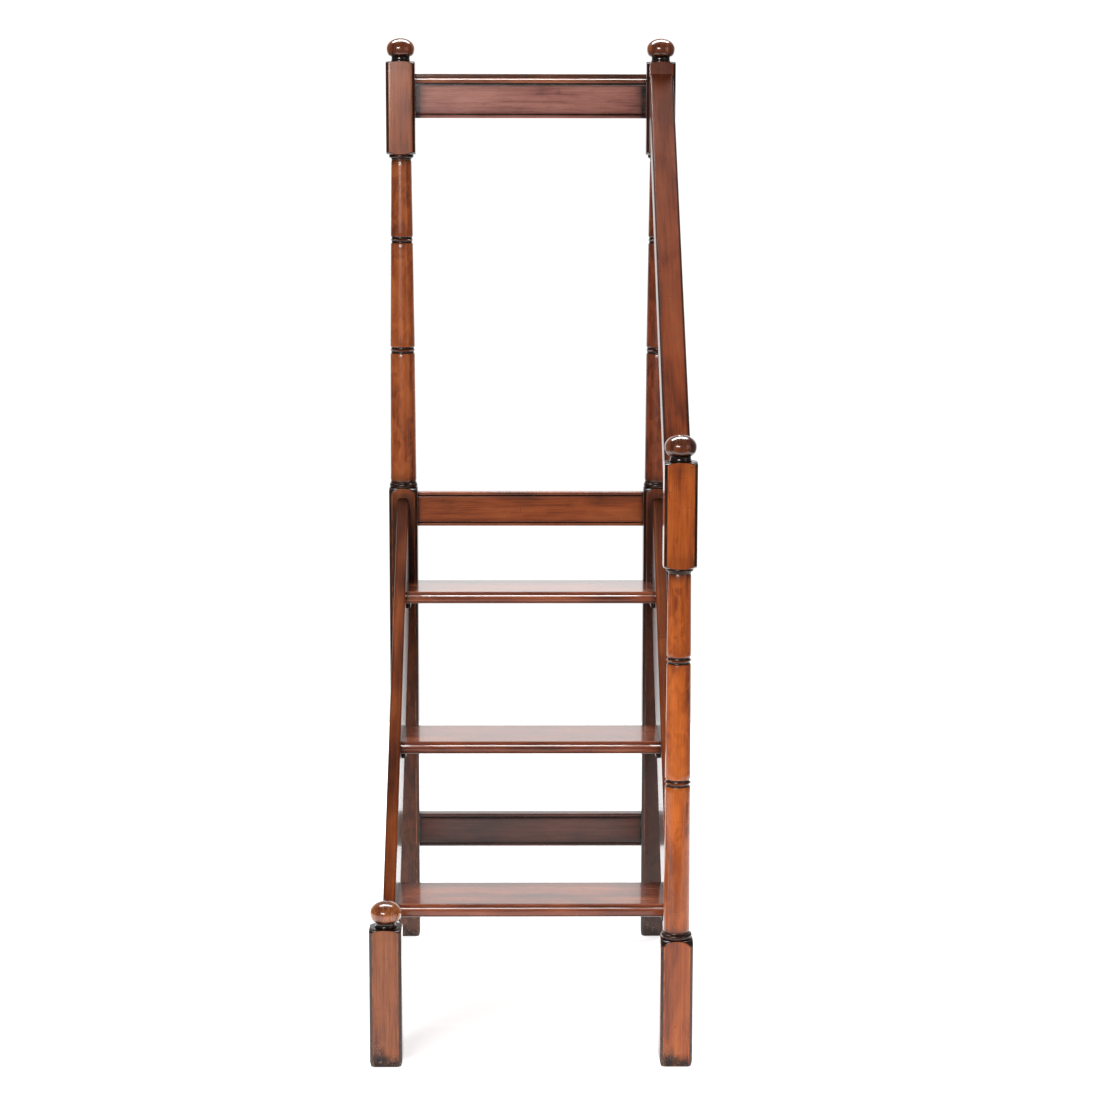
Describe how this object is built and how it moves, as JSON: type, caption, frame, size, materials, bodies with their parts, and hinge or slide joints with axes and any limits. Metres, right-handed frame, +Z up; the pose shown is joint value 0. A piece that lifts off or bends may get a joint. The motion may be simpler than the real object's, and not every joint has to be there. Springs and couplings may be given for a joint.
{
  "type": "library steps",
  "caption": "Free-standing wooden library steps with turned posts, bun finials, housed treads between sloping stringers, a beaded back frame and a handrail on one side.",
  "frame": {"origin": "centre of the footprint, on the floor under the feet", "axes": "+Z up; the steps climb towards +Y, so the front faces -Y; the handrail is on the +X side"},
  "size_m": [0.477, 0.694, 1.524],
  "materials": {
    "back_post_wood": "mahogany-stained and glazed, semi-gloss lacquer",
    "front_post_wood": "mahogany-stained and glazed, semi-gloss lacquer",
    "finial_wood": "mahogany-stained with a near-black glazed neck, gloss lacquer",
    "rail_wood": "mahogany-stained and glazed, semi-gloss lacquer",
    "stringer_wood": "mahogany-stained and glazed, semi-gloss lacquer",
    "tread_wood": "mahogany-stained, polished lacquer",
    "handrail_wood": "mahogany-stained and glazed, semi-gloss lacquer",
    "cleat_wood": "dark-stained, satin",
    "screw_steel": "plain zinc-plated steel"
  },
  "bodies": {
    "root": {"back_post_left": "back_post_wood", "back_post_right": "back_post_wood", "newel_post": "front_post_wood", "short_post": "front_post_wood", "finial_back_left": "finial_wood", "finial_back_right": "finial_wood", "finial_newel": "finial_wood", "finial_short": "finial_wood", "top_rail": "rail_wood", "middle_rail": "rail_wood", "lower_rail": "rail_wood", "top_rail_cap": "rail_wood", "stringer_left": "stringer_wood", "stringer_right": "stringer_wood", "tread_lower": "tread_wood", "tread_middle": "tread_wood", "tread_upper": "tread_wood", "handrail": "handrail_wood", "cleat_lower_left": "cleat_wood", "cleat_lower_right": "cleat_wood", "cleat_middle_left": "cleat_wood", "cleat_middle_right": "cleat_wood", "cleat_upper_left": "cleat_wood", "cleat_upper_right": "cleat_wood", "screw_lower_left_front": "screw_steel", "screw_lower_left_back": "screw_steel", "screw_lower_right_front": "screw_steel", "screw_lower_right_back": "screw_steel", "screw_middle_left_front": "screw_steel", "screw_middle_left_back": "screw_steel", "screw_middle_right_front": "screw_steel", "screw_middle_right_back": "screw_steel", "screw_upper_left_front": "screw_steel", "screw_upper_left_back": "screw_steel", "screw_upper_right_front": "screw_steel", "screw_upper_right_back": "screw_steel"}
  },
  "joints": []
}
